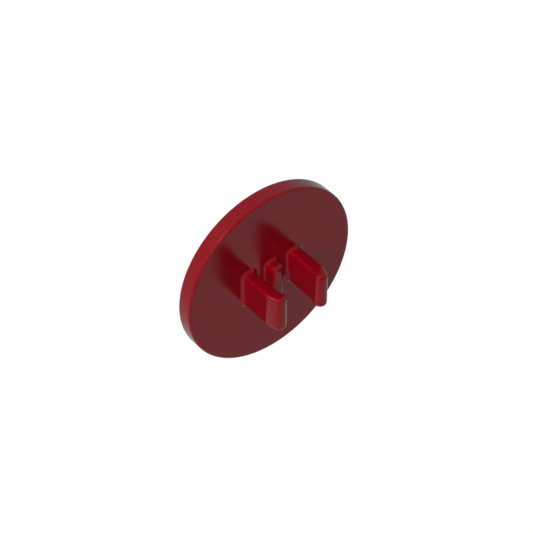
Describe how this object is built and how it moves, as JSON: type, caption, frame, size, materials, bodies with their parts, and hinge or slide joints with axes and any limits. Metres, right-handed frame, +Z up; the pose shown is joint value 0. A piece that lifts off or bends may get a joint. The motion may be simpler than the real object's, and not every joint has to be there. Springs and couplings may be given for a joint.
{
  "type": "clip-on marker disc",
  "caption": "Round plastic marker disc with a snap clip on its back: two springy hooked jaws close round a thin upright rod and press it against a short rib.",
  "frame": {"origin": "on the axis of the rod that the clip holds, half way up the jaws", "axes": "+Z up along the rod; +Y from the rod through the disc to its plain show face; the clip opens towards -Y; +X to the right jaw"},
  "size_m": [0.016, 0.0056, 0.016],
  "materials": {
    "red_plastic": "smooth moulded gloss"
  },
  "bodies": {
    "disc": {"disc": "red_plastic", "stop_rib": "red_plastic", "left_jaw_root": "red_plastic", "right_jaw_root": "red_plastic"},
    "left_jaw": {"left_jaw": "red_plastic"},
    "right_jaw": {"right_jaw": "red_plastic"}
  },
  "joints": [
    {"name": "left_jaw_flex", "type": "hinge", "parent": "disc", "child": "left_jaw", "pos_m": [-0.00224, 0.00192, 0], "axis": [0, 0, -1], "range_deg": [0, 4], "stiffness_Nm_per_rad": 0.35},
    {"name": "right_jaw_flex", "type": "hinge", "parent": "disc", "child": "right_jaw", "pos_m": [0.00224, 0.00192, 0], "axis": [0, 0, 1], "range_deg": [0, 4], "stiffness_Nm_per_rad": 0.35}
  ]
}
